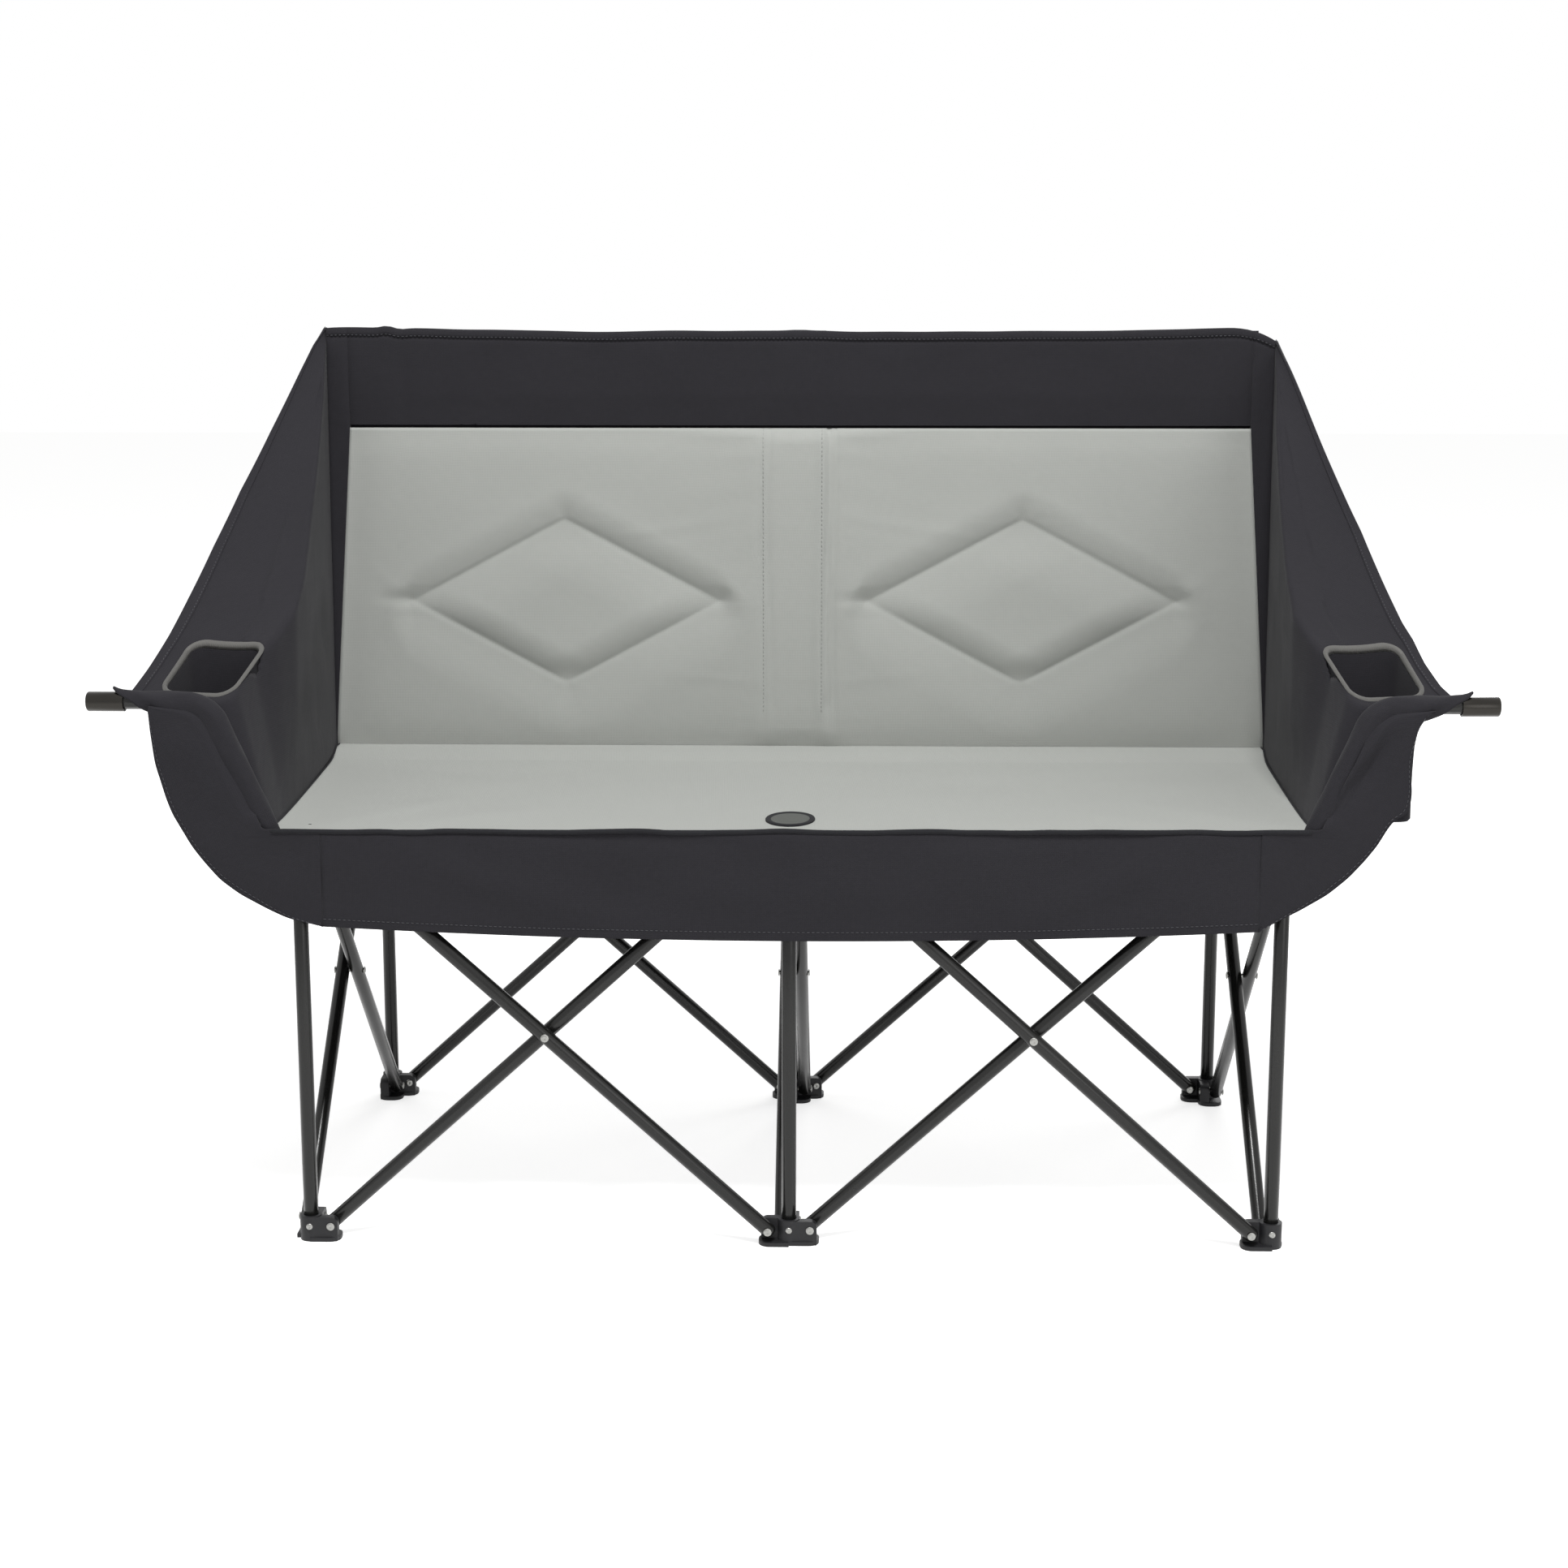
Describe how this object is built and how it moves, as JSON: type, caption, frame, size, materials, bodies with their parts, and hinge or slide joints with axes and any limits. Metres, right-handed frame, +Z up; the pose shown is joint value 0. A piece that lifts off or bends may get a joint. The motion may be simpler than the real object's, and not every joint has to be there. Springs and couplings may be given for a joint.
{
  "type": "folding camping loveseat",
  "caption": "Folding camping loveseat on crossed tube bars, with a padded seat and back, cloth arms holding cup pockets and a hanging front cloth.",
  "frame": {"origin": "on the floor, midway between the six posts and within 7 mm of the middle of the object's outline", "axes": "+X across the seat to the viewer's right, +Y from the front to the back, +Z up"},
  "size_m": [1.484, 0.5665, 0.98],
  "materials": {
    "coated_tube": "satin dark grey powder coat",
    "moulded_plastic": "matt black moulding",
    "rivet_steel": "bright rivet",
    "cap_plastic": "glossy gunmetal grey",
    "pad_cloth": "matt woven grey",
    "patch_cloth": "matt dark grey",
    "rim_tape": "light grey binding",
    "dark_cloth": "matt woven blue black"
  },
  "bodies": {
    "rear_centre": {"foot_rear_centre": "moulded_plastic", "post_rear_centre": "coated_tube", "back_cloth": "pad_cloth"},
    "bar_rear_left_falling": {"bar_rear_left_falling": "coated_tube", "rivet_rear_left": "rivet_steel"},
    "bar_rear_left_rising": {"bar_rear_left_rising": "coated_tube"},
    "rear_left": {"foot_rear_left": "moulded_plastic", "post_rear_left": "coated_tube", "arm_cloth_left": "dark_cloth"},
    "hub_rear_left": {"hub_rear_left": "moulded_plastic"},
    "hub_rear_centre": {"hub_rear_centre": "moulded_plastic"},
    "bar_rear_right_rising": {"bar_rear_right_rising": "coated_tube", "rivet_rear_right": "rivet_steel"},
    "bar_rear_right_falling": {"bar_rear_right_falling": "coated_tube"},
    "rear_right": {"foot_rear_right": "moulded_plastic", "post_rear_right": "coated_tube", "arm_cloth_right": "dark_cloth"},
    "hub_rear_right": {"hub_rear_right": "moulded_plastic"},
    "bar_centre_back": {"bar_centre_back": "coated_tube", "rivet_centre": "rivet_steel"},
    "bar_centre_fore": {"bar_centre_fore": "coated_tube"},
    "front_centre": {"foot_front_centre": "moulded_plastic", "post_front_centre": "coated_tube"},
    "hub_front_centre": {"hub_front_centre": "moulded_plastic", "rod_front_centre": "coated_tube", "front_skirt": "dark_cloth"},
    "bar_front_left_falling": {"bar_front_left_falling": "coated_tube", "rivet_front_left": "rivet_steel"},
    "bar_front_left_rising": {"bar_front_left_rising": "coated_tube"},
    "front_left": {"foot_front_left": "moulded_plastic", "post_front_left": "coated_tube"},
    "hub_front_left": {"hub_front_left": "moulded_plastic", "rod_front_left": "coated_tube", "arm_tube_left": "coated_tube", "arm_cap_left": "cap_plastic", "front_flank_left": "dark_cloth"},
    "bar_front_right_rising": {"bar_front_right_rising": "coated_tube", "rivet_front_right": "rivet_steel"},
    "bar_front_right_falling": {"bar_front_right_falling": "coated_tube"},
    "front_right": {"foot_front_right": "moulded_plastic", "post_front_right": "coated_tube"},
    "hub_front_right": {"hub_front_right": "moulded_plastic", "rod_front_right": "coated_tube", "arm_tube_right": "coated_tube", "arm_cap_right": "cap_plastic", "front_flank_right": "dark_cloth"},
    "bar_left_back": {"bar_left_back": "coated_tube", "rivet_left": "rivet_steel"},
    "bar_left_fore": {"bar_left_fore": "coated_tube"},
    "bar_right_back": {"bar_right_back": "coated_tube", "rivet_right": "rivet_steel"},
    "bar_right_fore": {"bar_right_fore": "coated_tube"},
    "seat": {"seat_cloth": "pad_cloth", "seat_patch": "patch_cloth"},
    "arm_front_left": {"cup_rim_left": "rim_tape", "cup_pocket_left": "dark_cloth"},
    "arm_front_right": {"cup_rim_right": "rim_tape", "cup_pocket_right": "dark_cloth"}
  },
  "joints": [
    {"name": "fold", "type": "hinge", "parent": "rear_centre", "child": "bar_rear_left_falling", "pos_m": [-0.023, 0.254, 0.017], "axis": [0, 1, 0], "range_deg": [0, 40], "deforming": ["back_cloth", "seat_cloth", "seat_patch", "front_skirt", "arm_cloth_left", "arm_cloth_right"]},
    {"name": "cross_rear_left", "type": "hinge", "parent": "bar_rear_left_falling", "child": "bar_rear_left_rising", "pos_m": [-0.2625, 0.2625, 0.2345], "axis": [0, -1, 0], "range_deg": [0, 80]},
    {"name": "foot_pin_rear_left", "type": "hinge", "parent": "bar_rear_left_rising", "child": "rear_left", "pos_m": [-0.502, 0.271, 0.017], "axis": [0, 1, 0], "range_deg": [0, 40]},
    {"name": "hub_pin_rear_left", "type": "hinge", "parent": "bar_rear_left_falling", "child": "hub_rear_left", "pos_m": [-0.502, 0.254, 0.452], "axis": [0, -1, 0], "range_deg": [0, 40]},
    {"name": "hub_pin_rear_centre", "type": "hinge", "parent": "bar_rear_left_rising", "child": "hub_rear_centre", "pos_m": [-0.023, 0.271, 0.452], "axis": [0, 1, 0], "range_deg": [0, 40]},
    {"name": "foot_pin_rear_centre_right", "type": "hinge", "parent": "rear_centre", "child": "bar_rear_right_rising", "pos_m": [0.023, 0.271, 0.017], "axis": [0, -1, 0], "range_deg": [0, 40]},
    {"name": "cross_rear_right", "type": "hinge", "parent": "bar_rear_right_rising", "child": "bar_rear_right_falling", "pos_m": [0.2625, 0.2625, 0.2345], "axis": [0, 1, 0], "range_deg": [0, 80]},
    {"name": "foot_pin_rear_right", "type": "hinge", "parent": "bar_rear_right_falling", "child": "rear_right", "pos_m": [0.502, 0.254, 0.017], "axis": [0, -1, 0], "range_deg": [0, 40]},
    {"name": "hub_pin_rear_right", "type": "hinge", "parent": "bar_rear_right_rising", "child": "hub_rear_right", "pos_m": [0.502, 0.271, 0.452], "axis": [0, 1, 0], "range_deg": [0, 40]},
    {"name": "foot_pin_rear_centre_deep", "type": "hinge", "parent": "rear_centre", "child": "bar_centre_back", "pos_m": [0.0085, 0.2395, 0.017], "axis": [-1, 0, 0], "range_deg": [0, 40]},
    {"name": "cross_centre", "type": "hinge", "parent": "bar_centre_back", "child": "bar_centre_fore", "pos_m": [0, 0, 0.2345], "axis": [1, 0, 0], "range_deg": [0, 80]},
    {"name": "foot_pin_front_centre_deep", "type": "hinge", "parent": "bar_centre_fore", "child": "front_centre", "pos_m": [-0.0085, -0.2395, 0.017], "axis": [-1, 0, 0], "range_deg": [0, 40]},
    {"name": "hub_pin_front_centre", "type": "hinge", "parent": "bar_centre_back", "child": "hub_front_centre", "pos_m": [0.0085, -0.2395, 0.452], "axis": [1, 0, 0], "range_deg": [0, 40]},
    {"name": "foot_pin_front_centre_left", "type": "hinge", "parent": "front_centre", "child": "bar_front_left_falling", "pos_m": [-0.023, -0.271, 0.017], "axis": [0, 1, 0], "range_deg": [0, 40]},
    {"name": "cross_front_left", "type": "hinge", "parent": "bar_front_left_falling", "child": "bar_front_left_rising", "pos_m": [-0.2625, -0.2625, 0.2345], "axis": [0, -1, 0], "range_deg": [0, 80]},
    {"name": "foot_pin_front_left", "type": "hinge", "parent": "bar_front_left_rising", "child": "front_left", "pos_m": [-0.502, -0.254, 0.017], "axis": [0, 1, 0], "range_deg": [0, 40]},
    {"name": "hub_pin_front_left", "type": "hinge", "parent": "bar_front_left_falling", "child": "hub_front_left", "pos_m": [-0.502, -0.271, 0.452], "axis": [0, -1, 0], "range_deg": [0, 40]},
    {"name": "foot_pin_front_centre_right", "type": "hinge", "parent": "front_centre", "child": "bar_front_right_rising", "pos_m": [0.023, -0.254, 0.017], "axis": [0, -1, 0], "range_deg": [0, 40]},
    {"name": "cross_front_right", "type": "hinge", "parent": "bar_front_right_rising", "child": "bar_front_right_falling", "pos_m": [0.2625, -0.2625, 0.2345], "axis": [0, 1, 0], "range_deg": [0, 80]},
    {"name": "foot_pin_front_right", "type": "hinge", "parent": "bar_front_right_falling", "child": "front_right", "pos_m": [0.502, -0.271, 0.017], "axis": [0, -1, 0], "range_deg": [0, 40]},
    {"name": "hub_pin_front_right", "type": "hinge", "parent": "bar_front_right_rising", "child": "hub_front_right", "pos_m": [0.502, -0.254, 0.452], "axis": [0, 1, 0], "range_deg": [0, 40]},
    {"name": "foot_pin_rear_left_deep", "type": "hinge", "parent": "rear_left", "child": "bar_left_back", "pos_m": [-0.5165, 0.2395, 0.017], "axis": [-1, 0, 0], "range_deg": [0, 40]},
    {"name": "cross_left", "type": "hinge", "parent": "bar_left_back", "child": "bar_left_fore", "pos_m": [-0.525, 0, 0.2345], "axis": [1, 0, 0], "range_deg": [0, 80]},
    {"name": "foot_pin_rear_right_deep", "type": "hinge", "parent": "rear_right", "child": "bar_right_back", "pos_m": [0.5335, 0.2395, 0.017], "axis": [-1, 0, 0], "range_deg": [0, 40]},
    {"name": "cross_right", "type": "hinge", "parent": "bar_right_back", "child": "bar_right_fore", "pos_m": [0.525, 0, 0.2345], "axis": [1, 0, 0], "range_deg": [0, 80]},
    {"name": "seat_hang", "type": "hinge", "parent": "hub_rear_centre", "child": "seat", "pos_m": [0, 0.235, 0.456], "axis": [1, 0, 0], "range_deg": [0, 84]},
    {"name": "arm_slide_left", "type": "slide", "parent": "rear_left", "child": "arm_front_left", "axis": [0, 0.8849, 0.4657], "range_m": [0, 0.44261]},
    {"name": "arm_slide_right", "type": "slide", "parent": "rear_right", "child": "arm_front_right", "axis": [0, 0.8849, 0.4657], "range_m": [0, 0.44261]}
  ],
  "couplings": [
    {"joint": "cross_rear_left", "follows": "fold", "ratio": 2},
    {"joint": "foot_pin_rear_left", "follows": "fold", "ratio": 1},
    {"joint": "hub_pin_rear_left", "follows": "fold", "ratio": 1},
    {"joint": "hub_pin_rear_centre", "follows": "fold", "ratio": 1},
    {"joint": "foot_pin_rear_centre_right", "follows": "fold", "ratio": 1},
    {"joint": "cross_rear_right", "follows": "fold", "ratio": 2},
    {"joint": "foot_pin_rear_right", "follows": "fold", "ratio": 1},
    {"joint": "hub_pin_rear_right", "follows": "fold", "ratio": 1},
    {"joint": "foot_pin_rear_centre_deep", "follows": "fold", "ratio": 1},
    {"joint": "cross_centre", "follows": "fold", "ratio": 2},
    {"joint": "foot_pin_front_centre_deep", "follows": "fold", "ratio": 1},
    {"joint": "hub_pin_front_centre", "follows": "fold", "ratio": 1},
    {"joint": "foot_pin_front_centre_left", "follows": "fold", "ratio": 1},
    {"joint": "cross_front_left", "follows": "fold", "ratio": 2},
    {"joint": "foot_pin_front_left", "follows": "fold", "ratio": 1},
    {"joint": "hub_pin_front_left", "follows": "fold", "ratio": 1},
    {"joint": "foot_pin_front_centre_right", "follows": "fold", "ratio": 1},
    {"joint": "cross_front_right", "follows": "fold", "ratio": 2},
    {"joint": "foot_pin_front_right", "follows": "fold", "ratio": 1},
    {"joint": "hub_pin_front_right", "follows": "fold", "ratio": 1},
    {"joint": "foot_pin_rear_left_deep", "follows": "fold", "ratio": 1},
    {"joint": "cross_left", "follows": "fold", "ratio": 2},
    {"joint": "foot_pin_rear_right_deep", "follows": "fold", "ratio": 1},
    {"joint": "cross_right", "follows": "fold", "ratio": 2},
    {"joint": "seat_hang", "follows": "fold", "ratio": 2.1},
    {"joint": "arm_slide_left", "follows": "fold", "m_per_rad": 0.63398},
    {"joint": "arm_slide_right", "follows": "fold", "m_per_rad": 0.63398}
  ]
}
